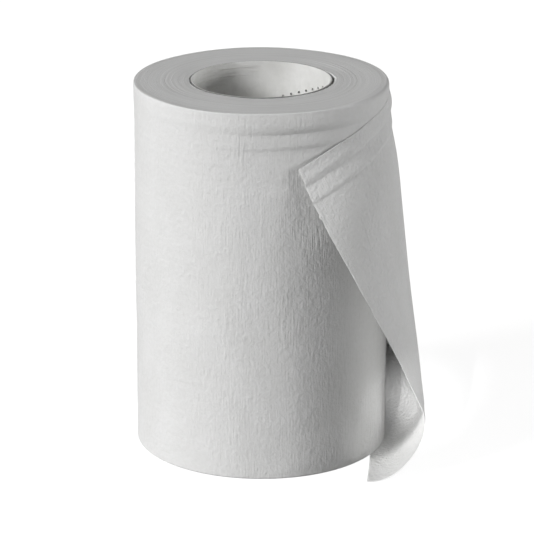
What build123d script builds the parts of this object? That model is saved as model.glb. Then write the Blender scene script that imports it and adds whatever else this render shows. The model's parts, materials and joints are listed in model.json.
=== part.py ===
"""Paper towel roll with a loose end: a cardboard core and the towel wound on it.

Millimetres and degrees. The origin is the centre of the core's bore at the foot
of the roll, +Z runs up the core, and the front of the roll faces -Y. Angles are
measured about +Z from +X.
"""

import os
from math import asin, atan2, cos, hypot, pi, radians, sin

from build123d import *

# The wound roll, with soft rims
roll_diameter = 135.0
roll_height = 200.0
rim_bevel = 0.9

# The core that the towel is wound on
core_inner_diameter = 73.0
core_wall = 1.0
core_clearance = 0.3

# Fine lines that the turns leave on both end faces, and the worn edge at the core
turn_lines = 2
turn_line_width = 0.8
turn_line_depth = 0.3
inner_bevel = 0.6

# The loose end: where it leaves the roll, how far it goes round, where its free corner is
sheet_thickness = 0.6
leave_angle = 88.0
free_corner_angle = -74.5
free_corner_lift = 3.5
free_corner_drop = 28.0
edge_margin = 0.6

# The foot of the loose end: it follows the rim, then runs straight off and curls under
foot_clearance = 0.5
straight_angle = -12.5
straight_run = 54.5
curl_radius_start = 3.0
curl_radius_end = 32.5
tuck_width = 12.6
tuck_end = 0.8
table_clearance = 0.1

# How the start of the loose end sinks into the turn below it, and how it drops and lifts
bury_depth = 0.7
bury_power = 6
drop_power = 3
lift_power = 2
sheet_sections = 24

roll_radius = roll_diameter / 2
core_radius = core_inner_diameter / 2
paper_inner_radius = core_radius + core_wall + core_clearance


def make_core():
    """The core: a spiral-wound tube, sawn flush with the paper at both ends."""
    with BuildPart() as core:
        with BuildSketch():
            Circle(core_radius + core_wall)
            Circle(core_radius, mode=Mode.SUBTRACT)
        extrude(amount=roll_height)
    return core.part


def make_wound_paper():
    """The wound turns: a section with bevelled edges and turn lines, revolved."""
    paper_width = roll_radius - paper_inner_radius
    turn_pitch = paper_width / (turn_lines + 1)
    with BuildPart() as paper:
        with BuildSketch(Plane.XZ) as section:
            with Locations((paper_inner_radius, 0)):
                Rectangle(paper_width, roll_height, align=(Align.MIN, Align.MIN))
            chamfer(section.vertices().group_by(Axis.X)[0], length=inner_bevel)
            chamfer(section.vertices().group_by(Axis.X)[-1], length=rim_bevel)
            for line in range(turn_lines):
                radius = paper_inner_radius + (line + 1) * turn_pitch
                for face_height, depth in ((0.0, turn_line_depth), (roll_height, -turn_line_depth)):
                    Polygon(
                        (radius - turn_line_width / 2, face_height),
                        (radius, face_height + depth),
                        (radius + turn_line_width / 2, face_height),
                        align=None,
                        mode=Mode.SUBTRACT,
                    )
        revolve(axis=Axis.Z)
    return paper.part


def foot_of_sheet(fraction):
    """Where the curl's centre line stands, and the directions out and along the sheet."""
    foot_radius = roll_radius + foot_clearance
    sunk = (curl_radius_start + foot_clearance + bury_depth) * (1 - fraction) ** bury_power
    arc_length = radians(leave_angle - straight_angle) * foot_radius
    distance = fraction * (arc_length + straight_run)
    angle = radians(leave_angle) - min(distance, arc_length) / foot_radius
    outward = Vector(cos(angle), sin(angle), 0)
    along = Vector(sin(angle), -cos(angle), 0)
    overrun = max(distance - arc_length, 0)
    foot = outward * (foot_radius - sunk) + along * overrun + Vector(0, 0, table_clearance)
    tuck = tuck_end + (tuck_width - tuck_end) * (1 - overrun / straight_run)
    return foot, outward, tuck


def top_of_sheet(fraction):
    """The upper edge: on the roll's rim at first, then out and down to the free corner."""
    angle = radians(leave_angle + (free_corner_angle - leave_angle) * fraction)
    sunk = bury_depth * (1 - fraction) ** bury_power
    radius = roll_radius + free_corner_lift * fraction**lift_power - sunk
    height = roll_height - edge_margin - free_corner_drop * fraction**drop_power
    return Vector(radius * cos(angle), radius * sin(angle), height)


def sheet_section(fraction):
    """One cross-section of the loose end: a straight drop, the curl and the tucked edge."""
    foot, outward, tuck = foot_of_sheet(fraction)
    top = top_of_sheet(fraction)
    radius = curl_radius_start + (curl_radius_end - curl_radius_start) * fraction
    reach = (top - foot).dot(outward)
    upward = (top - foot - outward * reach).normalized()
    height = (top - foot).dot(upward)
    plane = Plane(origin=foot, x_dir=outward, z_dir=outward.cross(upward))

    # The drop is tangent to the curl, so it leans by this much from upright
    span = hypot(reach, height - radius)
    lean = atan2(-reach, height - radius) + asin(radius / span)
    face = Vector(cos(lean), sin(lean))
    centre = Vector(0, radius)
    inner = radius - sheet_thickness
    halfway = Vector(cos((lean - pi / 2) / 2), sin((lean - pi / 2) / 2))
    outer_top = Vector(reach, height)
    with BuildSketch(plane) as section:
        with BuildLine():
            Line(outer_top, centre + face * radius)
            ThreePointArc(centre + face * radius, centre + halfway * radius, (0, 0))
            Line((0, 0), (-tuck, 0))
            Line((-tuck, 0), (-tuck, sheet_thickness))
            Line((-tuck, sheet_thickness), (0, sheet_thickness))
            ThreePointArc((0, sheet_thickness), centre + halfway * inner, centre + face * inner)
            Line(centre + face * inner, outer_top - face * sheet_thickness)
            Line(outer_top - face * sheet_thickness, outer_top)
        make_face()
    return section.sketch


def make_loose_end():
    """The loose end: straight rulings between its cross-sections, as in any curled sheet."""
    fractions = [step / sheet_sections for step in range(sheet_sections + 1)]
    return loft([sheet_section(fraction) for fraction in fractions], ruled=True)


def make_paper_web():
    """The towel in one piece: the wound turns and the loose end of the same sheet."""
    return make_wound_paper() + make_loose_end()


os.makedirs("parts", exist_ok=True)
export_step(make_core(), "parts/cardboard_core.step")
export_step(make_paper_web(), "parts/paper_web.step")
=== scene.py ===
"""Dresses a paper towel roll: the wound towel, its loose end and the cardboard core.

Metres and radians, in the frame of the solids: +Z runs up the core, -Y is the front,
and angles are measured about +Z from +X. Each surface is a grid worked out with numpy.
"""

import json
import logging
from dataclasses import dataclass, field
from enum import Enum
from math import pi, radians, tau
from typing import Sequence

import bpy
import numpy as np
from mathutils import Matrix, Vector


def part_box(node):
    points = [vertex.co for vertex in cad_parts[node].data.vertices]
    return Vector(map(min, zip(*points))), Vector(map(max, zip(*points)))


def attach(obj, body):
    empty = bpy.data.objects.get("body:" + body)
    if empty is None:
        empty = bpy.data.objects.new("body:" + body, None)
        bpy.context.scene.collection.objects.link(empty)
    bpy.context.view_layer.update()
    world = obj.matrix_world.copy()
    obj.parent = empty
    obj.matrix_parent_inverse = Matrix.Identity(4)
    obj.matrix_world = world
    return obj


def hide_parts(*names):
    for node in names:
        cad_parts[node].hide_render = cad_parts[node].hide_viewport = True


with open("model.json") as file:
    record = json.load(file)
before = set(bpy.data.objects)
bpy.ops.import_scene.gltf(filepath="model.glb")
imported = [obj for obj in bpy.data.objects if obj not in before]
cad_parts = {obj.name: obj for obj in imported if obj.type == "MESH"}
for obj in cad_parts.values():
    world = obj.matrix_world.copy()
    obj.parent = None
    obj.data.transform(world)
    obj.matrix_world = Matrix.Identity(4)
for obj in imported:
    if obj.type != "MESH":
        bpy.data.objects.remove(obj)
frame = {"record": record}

Grid = np.ndarray
Pair = tuple[float, float]
Triple = tuple[float, float, float]
Socket = bpy.types.NodeSocket

MM = 0.001
LOG = logging.getLogger("towel_roll")
BODY = "root"
TOWEL_NODE = "paper_web"
CORE_NODE = "cardboard_core"
TOWEL_MAP = "towel_map"


class Side(Enum):
    """The finish that a face of the wound towel takes, in slot order."""

    WALL = 0
    TURN_EDGES = 1


def smooth_step(value: Grid, low: float, high: float) -> Grid:
    """Rises smoothly from 0 at low to 1 at high: 3 t^2 - 2 t^3, where t is how far it is."""
    share = np.clip((value - low) / (high - low), 0.0, 1.0)
    return share * share * (3.0 - 2.0 * share)


def hump(value: Grid, middle: float, width: float) -> Grid:
    """A bell of height 1 at middle: exp(-((value - middle) / width)^2)."""
    return np.exp(-(((value - middle) / width) ** 2))


def round_hump(angle: Grid, middle: float, width: float) -> Grid:
    """Such a bell for angles, which closes on itself round the roll."""
    return hump((angle - middle + pi) % tau - pi, 0.0, width)


def groove(depth: Grid, start: float, bottom: float, end: float) -> Grid:
    """A groove that steepens from start to bottom, as t^2, and then recovers gently by end."""
    deepening = np.clip((depth - start) / (bottom - start), 0.0, 1.0) ** 2
    return deepening * (1.0 - smooth_step(depth, bottom, end))


def between(first: Grid | float, last: Grid | float, share: Grid) -> Grid:
    """Goes evenly from first, where share is 0, to last, where it is 1."""
    return first + (last - first) * share


@dataclass(frozen=True)
class Waves:
    """Soft random unevenness that closes on itself round the roll.

    The seed makes the same waves each time. Turns are the fewest and most waves round the
    roll, and lengths the shortest and longest wave the other way.
    """

    seed: int
    count: int
    turns: tuple[int, int]
    lengths: Pair

    def at(self, across: Grid, along: Grid) -> Grid:
        """Adds the waves up.

        Args:
            across: Angle about the axis.
            along: Distance at right angles to it.

        Returns:
            The sum of cos(m * across + k * along + phase), at about unit size.
        """
        draw = np.random.default_rng(self.seed)
        total = np.zeros(np.broadcast(across, along).shape)
        for _ in range(self.count):
            around = int(draw.integers(self.turns[0], self.turns[1] + 1))
            pitch = tau / draw.uniform(*self.lengths) * draw.choice([-1.0, 1.0])
            total = total + np.cos(around * across + pitch * along + draw.uniform(0.0, tau))
        return total / np.sqrt(self.count)


def ways(angle: Grid) -> tuple[Grid, Grid]:
    """The level directions outwards and onwards round the axis, at each angle."""
    level = np.zeros_like(angle)
    outward = np.stack([np.cos(angle), np.sin(angle), level], axis=-1)
    return outward, np.stack([-np.sin(angle), np.cos(angle), level], axis=-1)


def turned_points(reach: Grid, height: Grid, angle: Grid) -> Grid:
    """Points at those distances from the axis, heights, and angles about it."""
    parts = np.broadcast_arrays(reach * np.cos(angle), reach * np.sin(angle), height)
    return np.stack(parts, axis=-1)


def put(name: str, data: bpy.types.ID) -> bpy.types.Object:
    """Puts an object that holds data into the scene."""
    holder = bpy.data.objects.new(name, data)
    bpy.context.scene.collection.objects.link(holder)
    return holder


def make_mesh(name: str, points: Grid, faces: Grid) -> bpy.types.Object:
    """Puts a quad mesh into the scene, shaded smooth.

    Args:
        name: The piece's name.
        points: Its points, one row each.
        faces: Four point numbers for each face, anticlockwise from outside.

    Returns:
        The new object, at the origin.
    """
    mesh = bpy.data.meshes.new(name)
    mesh.vertices.add(len(points))
    mesh.vertices.foreach_set("co", points.astype(np.float32).ravel())
    mesh.loops.add(faces.size)
    mesh.loops.foreach_set("vertex_index", faces.astype(np.int32).ravel())
    mesh.polygons.add(len(faces))
    starts = np.arange(0, faces.size, faces.shape[1], dtype=np.int32)
    mesh.polygons.foreach_set("loop_start", starts)
    mesh.update(calc_edges=True)
    mesh.validate()
    mesh.polygons.foreach_set("use_smooth", np.ones(len(mesh.polygons), dtype=bool))
    return put(name, mesh)


def set_face_map(piece: bpy.types.Object, corners: Grid) -> None:
    """Gives a piece its UV map, in metres along the towel.

    Args:
        piece: The object to map.
        corners: One pair for each face corner, in face order.
    """
    layer = piece.data.uv_layers.new(name=TOWEL_MAP)
    layer.data.foreach_set("uv", corners.astype(np.float32).ravel())


def quads(*corners: Grid) -> Grid:
    """Faces from four grids of point numbers, one grid for each corner."""
    return np.stack([corner.ravel() for corner in corners], axis=1)


def wrapped_faces(rows: int, columns: int) -> Grid:
    """Faces of a grid that closes on itself both ways.

    Args:
        rows: Points round the axis.
        columns: Points round the section.

    Returns:
        Point numbers, four for each face, where point = row * columns + column.
    """
    number = np.arange(rows * columns).reshape(rows, columns)
    onward = np.roll(number, -1, axis=0)
    return quads(number, onward, np.roll(onward, -1, axis=1), np.roll(number, -1, axis=1))


class Nodes:
    """A short way to write the nodes of a material or of the sky."""

    def __init__(self, owner: bpy.types.ID, output: str = "OutputMaterial") -> None:
        """Starts an empty node tree.

        Args:
            owner: The new material or world.
            output: The type of its output node, without the leading ShaderNode.
        """
        self.owner = owner
        owner.use_nodes = True
        self.tree = owner.node_tree
        self.tree.nodes.clear()
        self.output = self.add(output)

    def add(self, kind: str, inputs: dict | None = None, **settings) -> bpy.types.Node:
        """Adds a node.

        Args:
            kind: Its type, without the leading ShaderNode.
            inputs: Values or sockets for its inputs, by name or number.
            **settings: Its own properties.

        Returns:
            The node.
        """
        node = self.tree.nodes.new("ShaderNode" + kind)
        for key, value in settings.items():
            setattr(node, key, value)
        for key, value in (inputs or {}).items():
            if isinstance(value, Socket):
                self.tree.links.new(value, node.inputs[key])
            else:
                node.inputs[key].default_value = value
        return node

    def math(self, operation: str, *values) -> Socket:
        """A math node's result, for numbers or sockets."""
        inputs = dict(enumerate(values))
        return self.add("Math", inputs, operation=operation).outputs[0]

    def rise(self, value: Socket, low: float, high: float) -> Socket:
        """A smooth rise from 0 to 1 as value goes from low to high."""
        inputs = {"Value": value, "From Min": low, "From Max": high}
        return self.add("MapRange", inputs, interpolation_type="SMOOTHSTEP").outputs["Result"]

    def reach(self, parts: Sequence[Socket]) -> Socket:
        """The distance from the roll's axis, from the parts of a place."""
        squares = [self.math("MULTIPLY", part, part) for part in (parts[0], parts[1])]
        return self.math("SQRT", self.math("ADD", *squares))

    def looked_at(self) -> Socket:
        """1 for what is seen, straight or by gloss or through glass, and 0 for other light."""
        path = self.add("LightPath").outputs
        not_straight = self.math("MAXIMUM", path["Is Glossy Ray"], path["Is Transmission Ray"])
        return self.math("MAXIMUM", path["Is Camera Ray"], not_straight)

    def noise(self, place: Socket, scale: float | Triple, detail: float = 2.0,
              roughness: float = 0.5, turn: float = 0.0) -> Socket:
        """Soft noise from 0 to 1.

        Args:
            place: Coordinates to read.
            scale: One scale for all axes, or one for each axis.
            detail: How much finer noise is added.
            roughness: How strong the finer noise is.
            turn: Angle about the second axis, where there is a scale for each axis.

        Returns:
            The noise.
        """
        if not isinstance(scale, float):
            mapping = {"Vector": place, "Rotation": (0.0, turn, 0.0), "Scale": scale}
            place, scale = self.add("Mapping", mapping).outputs["Vector"], 1.0
        inputs = {"Vector": place, "Scale": scale, "Detail": detail, "Roughness": roughness}
        return self.add("TexNoise", inputs).outputs[0]

    def bands(self, place: Socket, scale: float, detail: float) -> Socket:
        """Noise from 0 to 1 along one coordinate."""
        inputs = {"W": place, "Scale": scale, "Detail": detail}
        return self.add("TexNoise", inputs, noise_dimensions="1D").outputs[0]

    def shades(self, factor: Socket, low: Triple, high: Triple, span: Pair) -> Socket:
        """A colour between low and high as factor goes over span."""
        ramp = self.add("ValToRGB", {"Fac": factor})
        first, last = ramp.color_ramp.elements
        first.position, last.position = span
        first.color, last.color = (*low, 1.0), (*high, 1.0)
        return ramp.outputs["Color"]

    def coated(self, colour: Socket, roughness: float, gloss: float,
               layers: Sequence[tuple[Socket, float]], **more) -> bpy.types.Material:
        """Ends a material whose surface is raised by layers.

        Args:
            colour: Its colour.
            roughness: How matt it is.
            gloss: How strongly it shines.
            layers: Each layer's height as a share, and the distance that 1 stands for.
            **more: Other inputs of the shader, with _ for each space.

        Returns:
            The material.
        """
        inputs = {"Base Color": colour, "Roughness": roughness, "Specular IOR Level": gloss}
        normal = {}
        for height, distance in layers:
            bump = {"Height": height, "Distance": distance, "Strength": 1.0, **normal}
            normal = {"Normal": self.add("Bump", bump).outputs["Normal"]}
        inputs.update({name.replace("_", " "): value for name, value in more.items()})
        return self.finish(self.add("BsdfPrincipled", {**inputs, **normal}))

    def finish(self, shader: bpy.types.Node) -> bpy.types.ID:
        """Links the shader to the output and returns the material or world."""
        self.tree.links.new(shader.outputs[0], self.output.inputs["Surface"])
        return self.owner


@dataclass(frozen=True)
class TowelFinish:
    """Soft creped towel: fine wrinkles across the web, dimples and loose fibre."""

    pale: Triple = (0.90, 0.90, 0.895)
    shade: Triple = (0.845, 0.845, 0.835)
    tone_span: Pair = (0.36, 0.62)
    dimple_tone: float = 0.35
    cloud_scale: Triple = (38.0, 22.0, 1.0)
    crepe_scale: Triple = (900.0, 130.0, 1.0)
    crepe_height: float = 0.2 * MM
    streak_scale: Triple = (1100.0, 75.0, 1.0)
    streak_height: float = 0.22 * MM
    patch_scale: Triple = (70.0, 50.0, 1.0)
    patch_span: Pair = (0.42, 0.62)
    dimple_scale: Triple = (420.0, 420.0, 1.0)
    dimple_height: float = 0.34 * MM
    fibre_scale: Triple = (2600.0, 2600.0, 1.0)
    fibre_height: float = 0.05 * MM
    roughness: float = 0.95
    gloss: float = 0.12
    let_through: float = 0.0
    spread: float = 0.5 * MM

    def build(self) -> bpy.types.Material:
        """Makes the material. It reads the piece's own map, in metres along the towel."""
        nodes = Nodes(bpy.data.materials.new("towel_paper"))
        place = nodes.add("UVMap", uv_map=TOWEL_MAP).outputs[0]
        crepe = nodes.noise(place, self.crepe_scale, 3.0)
        dimples = nodes.noise(place, self.dimple_scale)
        fibre = nodes.noise(place, self.fibre_scale)
        cloud = nodes.noise(place, self.cloud_scale, 4.0, 0.6)
        patches = nodes.noise(place, self.patch_scale)
        streaks = nodes.math("MULTIPLY", nodes.noise(place, self.streak_scale),
                             nodes.rise(patches, *self.patch_span))
        layers = [(crepe, self.crepe_height), (streaks, self.streak_height),
                  (dimples, self.dimple_height), (fibre, self.fibre_height)]
        tone = nodes.math("MULTIPLY_ADD", dimples, self.dimple_tone,
                          nodes.math("MULTIPLY", cloud, 1.0 - self.dimple_tone))
        colour = nodes.shades(tone, self.shade, self.pale, self.tone_span)
        return nodes.coated(colour, self.roughness, self.gloss, layers,
                            Subsurface_Weight=self.let_through,
                            Subsurface_Radius=(1.0, 1.0, 1.0), Subsurface_Scale=self.spread)


@dataclass(frozen=True)
class TurnEdgeFinish:
    """The edges of the wound turns: fine rings, packed tight and slightly uneven."""

    pale: Triple = (0.89, 0.89, 0.885)
    shade: Triple = (0.80, 0.80, 0.79)
    tone_span: Pair = (0.3, 0.62)
    turn_pitch: float = 0.22 * MM
    ring_scale: float = 2400.0
    ring_height: float = 0.12 * MM
    group_scale: float = 520.0
    group_height: float = 0.18 * MM
    fibre_scale: float = 2200.0
    fibre_height: float = 0.12 * MM
    roughness: float = 0.97
    gloss: float = 0.08

    def build(self) -> bpy.types.Material:
        """Makes the material. Rings follow distance from the axis plus a turn's pitch a turn."""
        nodes = Nodes(bpy.data.materials.new("towel_turn_edges"))
        place = nodes.add("TexCoord").outputs["Object"]
        parts = nodes.add("SeparateXYZ", {"Vector": place}).outputs
        turned = nodes.math("ARCTAN2", parts[1], parts[0])
        wound = nodes.math("MULTIPLY_ADD", turned, self.turn_pitch / tau, nodes.reach(parts))
        rings = nodes.bands(wound, self.ring_scale, 2.0)
        groups = nodes.bands(wound, self.group_scale, 3.0)
        fibre = nodes.noise(place, self.fibre_scale)
        layers = [(rings, self.ring_height), (groups, self.group_height),
                  (fibre, self.fibre_height)]
        tone = nodes.math("MULTIPLY_ADD", rings, 0.5, nodes.math("MULTIPLY", groups, 0.5))
        colour = nodes.shades(tone, self.shade, self.pale, self.tone_span)
        return nodes.coated(colour, self.roughness, self.gloss, layers)


@dataclass(frozen=True)
class BoardFinish:
    """White-lined grey board of the core, with a faint grain and creases in its lining."""

    pale: Triple = (0.85, 0.85, 0.835)
    shade: Triple = (0.74, 0.74, 0.72)
    tone_span: Pair = (0.35, 0.65)
    mottle_scale: float = 60.0
    grain_scale: float = 900.0
    grain_height: float = 0.05 * MM
    wrinkle_scale: Triple = (150.0, 150.0, 60.0)
    wrinkle_height: float = 0.5 * MM
    crease_scale: Triple = (70.0, 70.0, 800.0)
    crease_height: float = 0.9 * MM
    crease_turn: float = radians(38.0)
    creased_heights: Pair = (180.0 * MM, 196.0 * MM)
    creased_places: Pair = (12.0 * MM, -18.0 * MM)
    # Radii over which the rim darkens, and by how much: the grey board's cut edge plus painted
    # shade for the gap between core and towel.
    cut_edge_and_gap_shade: Pair = (37.1 * MM, 37.25 * MM)
    cut_and_gap_shade_depth: float = 0.7
    roughness: float = 0.8
    gloss: float = 0.2

    def build(self) -> bpy.types.Material:
        """Makes the material from object coordinates.

        The lining's creases slant, near the upper rim at the left. Beyond the lining's distance
        from the axis the colour is darker: partly the grey board's cut edge, and partly painted
        shade standing for the dark gap between the core and the towel.
        """
        nodes = Nodes(bpy.data.materials.new("core_board"))
        place = nodes.add("TexCoord").outputs["Object"]
        grain = nodes.noise(place, self.grain_scale, 3.0)
        mottle = nodes.noise(place, self.mottle_scale, 4.0, 0.6)
        wrinkle = nodes.noise(place, self.wrinkle_scale)
        parts = nodes.add("SeparateXYZ", {"Vector": place}).outputs
        creases = nodes.noise(place, self.crease_scale, 1.0, turn=self.crease_turn)
        creased = nodes.math("MULTIPLY", nodes.rise(parts[2], *self.creased_heights),
                             nodes.rise(parts[0], *self.creased_places))
        # Painted shade: beyond the lining's radius the colour is darkened, partly the cut grey
        # board and partly the dark gap between core and towel.
        cut = nodes.rise(nodes.reach(parts), *self.cut_edge_and_gap_shade)
        cut_and_gap_shade_scale = nodes.math("MULTIPLY_ADD", cut, -self.cut_and_gap_shade_depth, 1.0)
        lining = nodes.shades(mottle, self.shade, self.pale, self.tone_span)
        colour = nodes.add("VectorMath", {0: lining, "Scale": cut_and_gap_shade_scale}, operation="SCALE").outputs[0]
        layers = [(grain, self.grain_height), (wrinkle, self.wrinkle_height),
                  (nodes.math("MULTIPLY", creases, creased), self.crease_height)]
        return nodes.coated(colour, self.roughness, self.gloss, layers)


@dataclass(frozen=True)
class FloorFinish:
    """Plain white floor. What the camera sees is lifted to white, and keeps the shadow."""

    bounce: Triple = (0.38, 0.38, 0.38)
    seen: Triple = (0.42, 0.42, 0.42)
    lift: float = 0.89

    def build(self) -> bpy.types.Material:
        """Makes the material: it glows where it is looked at, and bounces light elsewhere."""
        nodes = Nodes(bpy.data.materials.new("white_floor"))
        bounce = nodes.add("BsdfDiffuse", {"Color": (*self.bounce, 1.0)})
        seen = nodes.add("BsdfDiffuse", {"Color": (*self.seen, 1.0)})
        glow = nodes.add("Emission", {"Color": (1.0, 1.0, 1.0, 1.0), "Strength": self.lift})
        lifted = nodes.add("AddShader", {0: seen.outputs[0], 1: glow.outputs[0]})
        mixed = nodes.add("MixShader", {0: nodes.looked_at(), 1: bounce.outputs[0],
                                        2: lifted.outputs[0]})
        return nodes.finish(mixed)


@dataclass(frozen=True)
class RollSizes:
    """What the dressed pieces share: the solids' sizes, and the shape under and at the rim."""

    roll_radius: float
    roll_height: float
    core_radius: float
    bore_radius: float

    rim_radius: float = 1.1 * MM
    soft_rim_radius: float = 2.8 * MM
    soft_rim_middle: float = radians(-25.0)
    soft_rim_spread: float = radians(42.0)
    bands: tuple[Triple, ...] = (
        (7.0 * MM, 12.0 * MM, 80.0 * MM), (17.3 * MM, 20.5 * MM, 80.0 * MM))
    band_reliefs: Pair = (1.8 * MM, 0.95 * MM)
    band_middle: float = radians(-60.0)
    band_spread: float = radians(36.0)
    band_floor: float = 0.12

    def rim_at(self, angle: Grid) -> Grid:
        """The rim's rounding round the roll: crisp, and softer where the loose end leaves it."""
        softer = round_hump(angle, self.soft_rim_middle, self.soft_rim_spread)
        return between(self.rim_radius, self.soft_rim_radius, softer)

    def bands_at(self, angle: Grid, depth: Grid) -> Grid:
        """How deep the two grooves under the rim are, at a distance below the upper face.

        Args:
            angle: Angle about the axis.
            depth: Distance below the upper face.

        Returns:
            The sum of both grooves, which fade with a bell round the roll.
        """
        fade = between(self.band_floor, 1.0, round_hump(angle, self.band_middle, self.band_spread))
        grooves = [relief * groove(depth, *band)
                   for band, relief in zip(self.bands, self.band_reliefs)]
        return fade * sum(grooves)

    @classmethod
    def from_solids(cls) -> "RollSizes":
        """Reads the sizes from the nodes' boxes and the record's bore."""
        low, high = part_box(TOWEL_NODE)
        core_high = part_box(CORE_NODE)[1]
        bores = [mount for mount in frame["record"]["mounts"] if mount["kind"] == "bore"]
        return cls(roll_radius=-low.x, roll_height=high.z, core_radius=core_high.x,
                   bore_radius=bores[0]["dims"]["r_mm"] * MM)


@dataclass
class WoundTowel:
    """The wound turns, with soft rims, uneven turn edges and two soft bands under the rim."""

    sizes: RollSizes
    inner_edge: float = 0.5 * MM
    core_gap: float = 0.3 * MM
    steps_round: int = 400
    bore_steps: int = 10
    edge_steps: int = 4
    face_steps: int = 44
    rim_steps: int = 7
    banded_height: float = 30.0 * MM
    banded_steps: int = 56
    wall_steps: int = 74
    underside_steps: int = 10
    turn_pitch: float = 0.22 * MM
    rings: Waves = Waves(13, 30, (0, 0), (1.0 * MM, 3.6 * MM))
    ring_relief: float = 0.05 * MM
    worn: Waves = Waves(15, 14, (1, 5), (9 * MM, 50 * MM))
    worn_span: Pair = (-0.6, 1.2)
    worn_rings: float = 0.35
    face_waves: Waves = Waves(14, 20, (1, 6), (12 * MM, 60 * MM))
    face_relief: float = 0.25 * MM
    wall_waves: Waves = Waves(11, 18, (1, 7), (40 * MM, 160 * MM))
    wall_relief: float = 0.14 * MM
    wall_lines: Waves = Waves(12, 24, (0, 3), (4 * MM, 13 * MM))
    line_relief: float = 0.06 * MM
    covered_middle: float = radians(15.0)
    covered_spread: float = radians(60.0)
    covered_loss: float = 0.7
    frayed_middle: float = radians(1.0)
    frayed_spread: float = radians(17.0)
    frayed_gap: float = 1.0 * MM
    frayed_depth: float = 3.0 * MM
    jags: Waves = Waves(16, 20, (25, 120), (1.0, 2.0))
    jag_share: float = 0.3
    open_gap: float = 0.12 * MM
    ragged: Waves = Waves(17, 16, (9, 60), (1.0, 2.0))
    ragged_gap: float = 0.12 * MM
    angle: Grid = field(init=False)
    radius: Grid = field(init=False)
    height: Grid = field(init=False)
    outward: Grid = field(init=False)

    def __post_init__(self) -> None:
        """Works out the section, along a row, and the angles it is turned to, as a column."""
        self.radius, self.height, self.outward = self.profile()
        self.angle = (np.arange(self.steps_round) * tau / self.steps_round - pi)[:, None]

    def profile(self) -> tuple[Grid, Grid, Grid]:
        """The section, anticlockwise seen with the radius to the right and the height up.

        Straight stretches are even steps between their ends. An edge is a quarter circle:
        centre plus radius times (cos, sin).

        Returns:
            Radii, heights, and the outward direction as pairs.
        """
        inner = self.sizes.core_radius + self.core_gap
        outer, top = self.sizes.roll_radius, self.sizes.roll_height
        stretches = []

        def straight(start: Pair, end: Pair, steps: int, outward: Pair) -> None:
            share = np.linspace(0.0, 1.0, steps, endpoint=False)[:, None]
            line = between(np.array(start), np.array(end), share)
            stretches.append((line, np.broadcast_to(outward, line.shape)))

        def quarter(centre: Pair, radius: float, start: float, steps: int) -> None:
            angle = start + np.linspace(0.0, pi / 2, steps, endpoint=False)
            outward = np.stack([np.cos(angle), np.sin(angle)], axis=1)
            stretches.append((np.array(centre) + radius * outward, outward))

        edge, rim = self.inner_edge, self.sizes.rim_radius
        straight((inner + edge, 0.0), (outer - rim, 0.0), self.underside_steps, (0.0, -1.0))
        quarter((outer - rim, rim), rim, -pi / 2, self.rim_steps)
        banded = top - self.banded_height
        straight((outer, rim), (outer, banded), self.wall_steps, (1.0, 0.0))
        straight((outer, banded), (outer, top - rim), self.banded_steps, (1.0, 0.0))
        quarter((outer - rim, top - rim), rim, 0.0, self.rim_steps)
        straight((outer - rim, top), (inner + edge, top), self.face_steps, (0.0, 1.0))
        quarter((inner + edge, top - edge), edge, pi / 2, self.edge_steps)
        straight((inner, top - edge), (inner, edge), self.bore_steps, (-1.0, 0.0))
        quarter((inner + edge, edge), edge, pi, self.edge_steps)
        line = np.concatenate([stretch[0] for stretch in stretches])
        outward = np.concatenate([stretch[1] for stretch in stretches])
        return line[:, 0], line[:, 1], outward

    def relief(self) -> Grid:
        """How far each point stands proud of the section.

        The wall carries long waves and faint level lines, which are fainter under the loose
        end, and the two grooves under the rim. The upper face carries rings that follow
        radius + pitch * angle / turn, fainter where it is less worn, and long waves.

        Returns:
            Distances along the outward direction.
        """
        angle, radius, height = self.angle, self.radius, self.height
        on_wall, on_top = np.clip(self.outward.T, 0.0, 1.0) ** 2
        covered = hump(angle, self.covered_middle, self.covered_spread)
        waves = self.wall_relief * self.wall_waves.at(angle, height)
        waves = waves + self.line_relief * self.wall_lines.at(angle, height)
        wall = waves * (1.0 - self.covered_loss * covered)
        wall = wall - self.sizes.bands_at(angle, self.sizes.roll_height - height)
        rings = self.rings.at(0.0 * angle, radius + self.turn_pitch * angle / tau)
        worn = smooth_step(self.worn.at(angle, radius), *self.worn_span)
        rings = rings * between(self.worn_rings, 1.0, worn)
        face = self.ring_relief * rings + self.face_relief * self.face_waves.at(angle, radius)
        return on_wall * wall + on_top * (face - self.face_relief)

    def softened(self, reach: Grid, level: Grid) -> tuple[Grid, Grid]:
        """Rounds the upper rim to its radius at that angle.

        A point nearer than the radius to both the wall and the face, and outside the
        quarter circle there, moves straight onto it, towards its centre.

        Args:
            reach: Each point's distance from the axis.
            level: Each point's height.

        Returns:
            The new distances and heights.
        """
        rim = self.sizes.rim_at(self.angle)
        inward = reach - (self.sizes.roll_radius - rim)
        upward = level - (self.sizes.roll_height - rim)
        cornered = (inward > 0.0) & (upward > 0.0)
        pull = np.where(cornered, rim / np.maximum(np.hypot(inward, upward), 1e-9), 1.0)
        pull = np.minimum(pull, 1.0)
        return reach + inward * (pull - 1.0), level + upward * (pull - 1.0)

    def frayed(self) -> Grid:
        """How far the inner edge of the turns is drawn back from the core, jagged at one side."""
        inner = self.sizes.core_radius + self.core_gap
        jagged = 1.0 + self.jag_share * self.jags.at(self.angle, 0.0 * self.radius)
        drawn = hump(self.angle, self.frayed_middle, self.frayed_spread) * jagged
        near_top = hump(self.sizes.roll_height - self.height, 0.0, self.frayed_depth)
        near_core = hump(self.radius - inner, 0.0, self.frayed_depth)
        ragged = self.ragged_gap * self.ragged.at(self.angle, 0.0 * self.radius)
        return (self.open_gap + self.frayed_gap * drawn + ragged) * near_top * near_core

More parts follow.
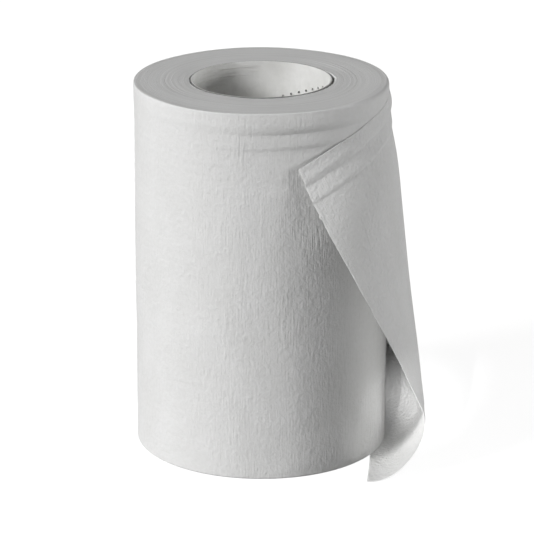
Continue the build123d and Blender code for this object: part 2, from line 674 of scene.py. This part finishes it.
    def build(self) -> bpy.types.Object:
        """Makes the piece, dresses it and hangs it on the frame.

        Returns:
            The wound towel as one closed mesh.
        """
        proud = self.relief()
        drawn = np.maximum(self.frayed(), -0.5 * self.core_gap)
        reach = self.radius + proud * self.outward[:, 0] + drawn
        level = np.maximum(self.height + proud * self.outward[:, 1], 0.0)
        points = turned_points(*self.softened(reach, level), self.angle)
        faces = wrapped_faces(self.steps_round, len(self.radius))
        piece = make_mesh("wound_towel", points.reshape(-1, 3), faces)
        self.map_faces(piece, faces)
        piece.data.materials.append(TowelFinish().build())
        piece.data.materials.append(TurnEdgeFinish().build())
        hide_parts(TOWEL_NODE)
        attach(piece, BODY)
        return piece

    def map_faces(self, piece: bpy.types.Object, faces: Grid) -> None:
        """Lays the towel map on the piece and gives each face its finish.

        The map runs roll radius * angle one way and height the other, and a face that
        closes the turn counts its far corners a full turn on.

        Args:
            piece: The wound towel.
            faces: Its faces, as point numbers.
        """
        row, column = np.divmod(faces, len(self.radius))
        turned = self.angle.ravel()[row]
        turned = turned + tau * (turned < turned[:, :1] - pi)
        corners = np.stack([self.sizes.roll_radius * turned, self.height[column]], axis=2)
        set_face_map(piece, corners.reshape(-1, 2))
        level = np.abs(self.outward[column, 1]).mean(axis=1) > np.sqrt(0.5)
        sides = np.where(level, Side.TURN_EDGES.value, Side.WALL.value)
        piece.data.polygons.foreach_set("material_index", sides.astype(np.int32))


@dataclass
class LooseEnd:
    """The outer end of the towel: it leaves at the back, hangs down the side and curls under."""

    sizes: RollSizes
    finish: TowelFinish = TowelFinish(dimple_height=0.75 * MM, let_through=0.12)
    thickness: float = 0.35 * MM
    leave_angle: float = radians(88.0)
    free_corner_angle: float = radians(-73.7)
    free_corner_lift: float = 3.9 * MM
    free_corner_drop: float = 29.9 * MM
    edge_margin: float = 0.6 * MM
    foot_clearance: float = 0.5 * MM
    straight_angle: float = radians(-11.0)
    straight_run: float = 53.0 * MM
    curl_radius_start: float = 3.0 * MM
    curl_radius_end: float = 30.4 * MM
    tuck_width: float = 6.8 * MM
    tuck_end: float = 0.8 * MM
    table_clearance: float = 0.1 * MM
    bury_depth: float = 0.7 * MM
    bury_power: int = 6
    drop_power: float = 3.1
    lift_power: float = 1.85
    flat_width: float = 200.0 * MM
    flat_length: float = 195.0 * MM
    steps_along: int = 184
    banded_share: float = 0.15
    banded_steps: int = 60
    steps_down: int = 172
    bands: tuple[Triple, ...] = (
        (5.5 * MM, 9.8 * MM, 38.0 * MM), (16.3 * MM, 19.0 * MM, 50.0 * MM))
    band_reliefs: Pair = (1.8 * MM, 0.9 * MM)
    band_start: float = 0.15
    free_span: Pair = (0.25, 0.7)
    hug_depths: Pair = (3.0 * MM, 13.0 * MM)
    hug_growth: Pair = (0.45, 0.8)
    hug_gap: float = -0.05 * MM
    hug_loss: float = 0.4
    hug_power: int = 5
    edge_taper: float = 0.7
    taper_width: float = 1.5 * MM
    waves: Waves = Waves(21, 16, (1, 5), (50 * MM, 180 * MM))
    wave_relief: float = 0.25 * MM
    wave_rise: Pair = (0.0, 30 * MM)
    wave_fall: Pair = (150 * MM, 190 * MM)
    edge_power: int = 8
    waver: Waves = Waves(22, 12, (0, 0), (5 * MM, 40 * MM))
    edge_waver: float = 0.12 * MM
    nub_depth: float = 26.0 * MM
    nub_width: float = 1.1 * MM
    nub_reach: float = 0.8 * MM
    edge_bow: float = 1.8 * MM
    edge_bow_length: float = 180.0 * MM
    corner_lead: float = 5.5 * MM
    corner_start: float = 155.0 * MM
    curl_slack: float = 0.08

    def shares(self, even: Grid, down: Grid) -> Grid:
        """Shares of the way along the towel, drawn out or in where the cut edge isn't true.

        The cut edge bows in one long wave, leads at its lower corner, has a small nub near
        the bands, and wavers.

        Args:
            even: Even shares from 0 to 1, as a column.
            down: Even shares of the way down, as a row.

        Returns:
            A grid of shares, whose last row is the cut edge.
        """
        depth = down * self.flat_width
        past_edge = (self.edge_waver * self.waver.at(0.0 * depth, depth)
                     + self.nub_reach * hump(depth, self.nub_depth, self.nub_width)
                     + self.edge_bow * np.sin(tau * depth / self.edge_bow_length)
                     + self.corner_lead * smooth_step(depth, self.corner_start, self.flat_width))
        return even * (1.0 + even**self.edge_power * past_edge / self.flat_length)

    def outer_face(self, share: Grid, down: Grid) -> tuple[Grid, Grid]:
        """Points of the towel's outer face, before its relief.

        Each cross-section stands in the plane through its foot, the way outwards and the
        upper edge. In that plane the towel drops straight to its curl, follows the circle
        that touches both the drop and the table, and ends in a straight tuck.

        Args:
            share: Share of the way from where the towel leaves the roll to its cut edge.
            down: Share of the way down the cross-section.

        Returns:
            The points, and each one's distance from the upper edge.
        """
        foot_radius = self.sizes.roll_radius + self.foot_clearance
        buried = (1.0 - share) ** self.bury_power
        sunk = (self.curl_radius_start + self.foot_clearance + self.bury_depth) * buried
        arc_length = (self.leave_angle - self.straight_angle) * foot_radius
        distance = share * (arc_length + self.straight_run)
        angle = self.leave_angle - np.minimum(distance, arc_length) / foot_radius
        overrun = np.maximum(distance - arc_length, 0.0)
        outward, backward = ways(angle)
        foot = outward * (foot_radius - sunk)[..., None] - backward * overrun[..., None]
        foot[..., 2] += self.table_clearance
        tuck = between(self.tuck_end, self.tuck_width, 1.0 - overrun / self.straight_run)

        turned = between(self.leave_angle, self.free_corner_angle, share)
        lifted = self.free_corner_lift * share**self.lift_power - self.bury_depth * buried
        reach_top = self.sizes.roll_radius + lifted
        drop = self.free_corner_drop * share**self.drop_power
        height_top = self.sizes.roll_height - self.edge_margin - drop
        top = turned_points(reach_top, height_top, turned)

        radius = between(self.curl_radius_start, self.curl_radius_end, share)
        reach = np.sum((top - foot) * outward, axis=-1)
        rising = top - foot - outward * reach[..., None]
        height = np.linalg.norm(rising, axis=-1)
        upward = rising / height[..., None]
        lean = np.arctan2(-reach, height - radius)
        lean = lean + np.arcsin(radius / np.hypot(reach, height - radius))

        touch_out, touch_up = radius * np.cos(lean), radius * (1.0 + np.sin(lean))
        drop_length = np.hypot(reach - touch_out, height - touch_up)
        curl_length = radius * (lean + pi / 2)
        from_top = down * (drop_length + curl_length + tuck)
        on_drop = np.clip(from_top / drop_length, 0.0, 1.0)
        curled = np.clip((from_top - drop_length) / curl_length, 0.0, 1.0)
        rounded = lean - curled * (lean + pi / 2)
        slack = 1.0 - self.curl_slack * share**2 * np.sin(pi * curled) ** 2
        tucked = np.maximum(from_top - drop_length - curl_length, 0.0)
        past_drop = from_top > drop_length
        out = np.where(past_drop, radius * slack * np.cos(rounded) - tucked,
                       between(reach, touch_out, on_drop))
        up = np.where(past_drop, radius * (1.0 + slack * np.sin(rounded)),
                      between(height, touch_up, on_drop))
        points = foot + outward * out[..., None] + upward * up[..., None]
        return points, from_top

    def hugged(self, points: Grid, share: Grid, from_top: Grid) -> Grid:
        """Draws the upper edge in, so that it clings to the roll and bends over its rim.

        The roll's surface is a circle of the roll's radius with its two grooves, whose rim
        is a quarter circle of the rounding at that angle. A point moves towards it by the
        share exp(-(distance from the edge / depth)^2), over a depth that grows towards the
        cut edge, and by less near the free corner.

        Args:
            points: Points of the plain outer face.
            share: Share of the way along the towel.
            from_top: Distance from the upper edge.

        Returns:
            The points, moved straight towards the axis.
        """
        reach = np.hypot(points[..., 0], points[..., 1])
        angle = np.arctan2(points[..., 1], points[..., 0])
        rim = self.sizes.rim_at(angle)
        over_rim = np.clip(points[..., 2] - (self.sizes.roll_height - rim), 0.0, rim)
        surface = self.sizes.roll_radius - rim + np.sqrt(rim**2 - over_rim**2)
        surface = surface - self.sizes.bands_at(angle, self.sizes.roll_height - points[..., 2])
        edge = self.thickness * (1.0 - self.edge_taper)
        gap = np.maximum(reach - surface - edge - self.hug_gap, 0.0)
        depth = between(*self.hug_depths, smooth_step(share, *self.hug_growth))
        kept = 1.0 - self.hug_loss * share**self.hug_power
        drawn = gap * hump(from_top, 0.0, depth) * kept
        moved = points.copy()
        moved[..., :2] *= (1.0 - drawn / reach)[..., None]
        return moved

    def relief(self, along: Grid, from_top: Grid) -> Grid:
        """How far the towel stands off its plain form: two grooves and soft waves.

        Args:
            along: Distance along the towel from where it leaves the roll.
            from_top: Distance from the upper edge.

        Returns:
            Distances along the outward direction.
        """
        low, high = self.free_span
        free = smooth_step(along, low * self.flat_length, high * self.flat_length)
        fade = between(self.band_start, 1.0, free)
        total = np.zeros_like(along)
        for band, relief in zip(self.bands, self.band_reliefs):
            total = total - relief * fade * groove(from_top, *band)
        waves = self.waves.at(along / self.flat_length * tau, from_top)
        rise, fall = (smooth_step(from_top, *span) for span in (self.wave_rise, self.wave_fall))
        return total + self.wave_relief * waves * free * (rise * (1.0 - fall))

    def build(self) -> bpy.types.Object:
        """Makes the piece, dresses it and hangs it on the frame.

        Returns:
            The loose end as one thin closed mesh.
        """
        banded = np.linspace(0.0, self.banded_share, self.banded_steps, endpoint=False)
        plain_part = np.linspace(self.banded_share, 1.0, self.steps_down)
        down = np.concatenate([banded, plain_part])[None, :]
        even = np.linspace(0.0, 1.0, self.steps_along)[:, None]
        share = self.shares(even, down)
        plain, from_top = self.outer_face(share, down + 0.0 * even)
        plain = self.hugged(plain, share, from_top)
        along = share * self.flat_length
        outward = self.face_directions(plain)
        outer = plain + outward * self.relief(along, from_top)[..., None]
        outer[..., 2] = np.maximum(outer[..., 2], self.table_clearance)
        outward = self.face_directions(outer)
        to_edge = np.minimum(from_top, (1.0 - even) * self.flat_length)
        thickness = self.thickness * (1.0 - self.edge_taper * hump(to_edge, 0.0, self.taper_width))
        inner = outer - outward * thickness[..., None]
        points = np.concatenate([outer.reshape(-1, 3), inner.reshape(-1, 3)])
        faces, corners = self.shell_faces(along, from_top)
        piece = make_mesh("loose_end", points, faces)
        set_face_map(piece, corners)
        piece.data.materials.append(self.finish.build())
        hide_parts(TOWEL_NODE)
        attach(piece, BODY)
        return piece

    @staticmethod
    def face_directions(points: Grid) -> Grid:
        """The outward direction at each point: the cross product of the grid's two slopes."""
        across = np.cross(np.gradient(points, axis=0), np.gradient(points, axis=1))
        return across / np.linalg.norm(across, axis=-1, keepdims=True)

    def shell_faces(self, along: Grid, from_top: Grid) -> tuple[Grid, Grid]:
        """Faces of the outer and inner grids and of the four edges between them.

        Args:
            along: Distance along the towel at each grid point.
            from_top: Distance from the upper edge at each grid point.

        Returns:
            The faces, and the towel map's pair at each face corner.
        """
        number = np.arange(along.size).reshape(along.shape)
        back = number + number.size
        outer = quads(number[:-1, :-1], number[:-1, 1:], number[1:, 1:], number[1:, :-1])
        inner = outer[:, [0, 3, 2, 1]] + number.size
        top = quads(number[:-1, 0], number[1:, 0], back[1:, 0], back[:-1, 0])
        foot = quads(number[1:, -1], number[:-1, -1], back[:-1, -1], back[1:, -1])
        start = quads(number[0, 1:], number[0, :-1], back[0, :-1], back[0, 1:])
        cut = quads(number[-1, :-1], number[-1, 1:], back[-1, 1:], back[-1, :-1])
        faces = np.concatenate([outer, inner, top, foot, start, cut])
        pairs = np.stack([along.ravel(), self.flat_width - from_top.ravel()], axis=1)
        return faces, pairs[faces % number.size].reshape(-1, 2)


@dataclass
class Core:
    """The spiral-wound tube, with a spiral line of small perforations through its wall."""

    sizes: RollSizes
    steps_round: int = 240
    steps_up: int = 80
    edge_round: float = 0.12 * MM
    perforation_radius: float = 0.75 * MM
    perforation_pitch: float = 5.1 * MM
    spiral_lead: float = 80.0 * MM
    spiral_start: float = radians(-14.5)
    first_perforation: float = 0.48
    perforation_sides: int = 10
    sharp_angle: float = radians(35.0)

    def tube(self) -> bpy.types.Object:
        """The plain tube as a closed grid: its foot, outer wall, rim and inner wall."""
        bore, outer, top = self.sizes.bore_radius, self.sizes.core_radius, self.sizes.roll_height
        edge = self.edge_round
        up = np.linspace(edge, top - edge, self.steps_up)
        section = np.concatenate([
            [(bore + edge, 0.0), (outer - edge, 0.0)],
            np.stack([np.full_like(up, outer), up], axis=1),
            [(outer - edge, top), (bore + edge, top)],
            np.stack([np.full_like(up, bore), up[::-1]], axis=1),
        ])
        angle = (np.arange(self.steps_round) * tau / self.steps_round)[:, None]
        points = turned_points(section[:, 0], section[:, 1], angle)
        faces = wrapped_faces(self.steps_round, len(section))
        return make_mesh("core_tube", points.reshape(-1, 3), faces)

    def pins(self) -> bpy.types.Object:
        """Short pins along the spiral: height = top - lead * turned / turn, at an even pitch."""
        middle = (self.sizes.bore_radius + self.sizes.core_radius) / 2
        run = np.hypot(tau * middle, self.spiral_lead)
        count = int(self.sizes.roll_height / self.spiral_lead * run / self.perforation_pitch)
        turned = (np.arange(count) + self.first_perforation) * self.perforation_pitch / run * tau
        height = self.sizes.roll_height - self.spiral_lead * turned / tau
        outward, sideways = ways(self.spiral_start + turned)
        upright = np.array([0.0, 0.0, 1.0])
        centre = outward * middle + height[:, None] * upright
        half = self.sizes.core_radius - self.sizes.bore_radius
        sides = self.perforation_sides
        around = (np.arange(sides) * tau / sides)[:, None]
        circle = np.cos(around) * sideways[:, None, :] + np.sin(around) * upright
        ends = [centre[:, None, :] + circle * self.perforation_radius + way * outward[:, None, :]
                for way in (-half, half)]
        points = np.concatenate(ends, axis=1)
        near = 2 * sides * np.arange(count)[:, None] + np.arange(sides)
        following = np.roll(near, -1, axis=1)
        walls = quads(near, following, following + sides, near + sides)
        faces = [*walls.tolist(), *near[:, ::-1].tolist(), *(near + sides).tolist()]
        mesh = bpy.data.meshes.new("perforation_pins")
        mesh.from_pydata(points.reshape(-1, 3).tolist(), [], faces)
        mesh.update()
        return put("perforation_pins", mesh)

    def build(self) -> bpy.types.Object:
        """Makes the tube, punches it, dresses it and hangs it on the frame.

        Returns:
            The core as one closed mesh.
        """
        tube, pins = self.tube(), self.pins()
        punch = tube.modifiers.new("punch", "BOOLEAN")
        punch.operation = "DIFFERENCE"
        punch.solver = "EXACT"
        punch.object = pins
        bpy.context.view_layer.update()
        graph = bpy.context.evaluated_depsgraph_get()
        punched = bpy.data.meshes.new_from_object(tube.evaluated_get(graph))
        tube.modifiers.clear()
        tube.data = punched
        tube.data.set_sharp_from_angle(angle=self.sharp_angle)
        bpy.data.objects.remove(pins)
        tube.data.materials.append(BoardFinish().build())
        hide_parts(CORE_NODE)
        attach(tube, BODY)
        return tube


@dataclass(frozen=True)
class Lamp:
    """A lamp at an angle about +Z from +X and a height above the floor, both in degrees."""

    name: str
    angle: float
    height: float
    power: float

    def add(self, kind: str) -> tuple[bpy.types.Object, Vector]:
        """Adds a lamp of that kind, and returns its object and the way towards it."""
        angle, height = radians(self.angle), radians(self.height)
        way = Vector((np.cos(angle) * np.cos(height), np.sin(angle) * np.cos(height),
                      np.sin(height)))
        lamp = bpy.data.lights.new(self.name, kind)
        lamp.energy = self.power
        holder = put(self.name, lamp)
        holder.rotation_mode = "QUATERNION"
        holder.rotation_quaternion = way.to_track_quat("Z", "Y")
        return holder, way


@dataclass(frozen=True)
class Softbox(Lamp):
    """A broad soft lamp far off, whose softness in degrees is how wide it looks."""

    softness: float

    def build(self) -> None:
        """Adds the lamp to the scene, pointing at the roll."""
        holder, _ = self.add("SUN")
        holder.data.angle = radians(self.softness)


@dataclass(frozen=True)
class Snoot(Lamp):
    """A narrow lamp that lights a small circle, and nothing by reflection from there.

    It stands at reach from the place it aims at, and lights a circle of that radius.
    """

    aim: Triple
    radius: float
    reach: float = 1.4
    blend: float = 0.2
    lamp_radius: float = 10.0 * MM

    def build(self) -> None:
        """Adds the lamp to the scene, pointing at its aim."""
        holder, way = self.add("SPOT")
        holder.location = Vector(self.aim) + way * self.reach
        holder.data.spot_size = 2.0 * np.arctan(self.radius / self.reach)
        holder.data.spot_blend = self.blend
        holder.data.shadow_soft_size = self.lamp_radius
        holder.data.cycles.max_bounces = 0


@dataclass
class Studio:
    """Plain white floor, soft lamps round the roll, and two narrow ones into the curl."""

    floor_half: float = 6.0
    lamps: tuple[Softbox, ...] = (
        Softbox("key_light", 216.0, 25.0, 2.3, 20.0),
        Softbox("front_light", 245.0, 28.0, 0.3, 30.0),
        Softbox("low_left_light", 170.0, 8.0, 0.36, 40.0),
        Softbox("right_light", -3.0, 6.0, 1.28, 12.0),
        Softbox("rear_light", 95.0, 20.0, 0.35, 60.0),
    )
    pocket_lamps: tuple[Snoot, ...] = (
        Snoot("pocket_light", 255.0, 18.0, 60.0, (91 * MM, 9 * MM, 15 * MM), 18.5 * MM),
        Snoot("pocket_fill", 267.0, 21.0, 56.0, (86 * MM, 0.0, 19 * MM), 22.0 * MM),
    )
    sky_strength: float = 0.02
    camera_place: Triple = (0.0, -1.5708, 0.6242)
    camera_tilt: float = radians(-18.605)
    camera_turn: float = -0.0019
    camera_lens: float = 207.89
    camera_sensor: float = 36.0

    def build(self) -> None:
        """Makes the floor, lamps, sky and camera."""
        square = np.array([(-1.0, -1.0, 0.0), (1.0, -1.0, 0.0), (1.0, 1.0, 0.0), (-1.0, 1.0, 0.0)])
        floor = make_mesh("floor", square * self.floor_half, np.array([[0, 1, 2, 3]]))
        floor.data.materials.append(FloorFinish().build())
        for lamp in (*self.lamps, *self.pocket_lamps):
            lamp.build()
        self.sky()
        self.camera()

    def sky(self) -> None:
        """A white sky: full strength for what is looked at, dim as a light."""
        nodes = Nodes(bpy.data.worlds.new("white_sky"), "OutputWorld")
        strength = nodes.math("MULTIPLY_ADD", nodes.looked_at(), 1.0 - self.sky_strength,
                              self.sky_strength)
        background = nodes.add("Background", {"Color": (1.0, 1.0, 1.0, 1.0), "Strength": strength})
        bpy.context.scene.world = nodes.finish(background)

    def camera(self) -> None:
        """Sets the camera where the photograph was taken from."""
        lens = bpy.data.cameras.new("camera")
        lens.lens = self.camera_lens
        lens.sensor_width = self.camera_sensor
        holder = put("camera", lens)
        holder.location = self.camera_place
        holder.rotation_euler = (pi / 2 + self.camera_tilt, 0.0, self.camera_turn)
        bpy.context.scene.camera = holder


def main() -> None:
    """Builds the pieces in order and reports each one."""
    logging.basicConfig(level=logging.INFO, format="%(name)s: %(message)s")
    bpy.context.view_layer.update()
    bpy.context.scene.view_settings.view_transform = "Standard"
    sizes = RollSizes.from_solids()
    for part in (WoundTowel(sizes), LooseEnd(sizes), Core(sizes)):
        piece = part.build()
        LOG.info("%s: %d faces", piece.name, len(piece.data.polygons))
    Studio().build()


if __name__ == "__main__":
    main()
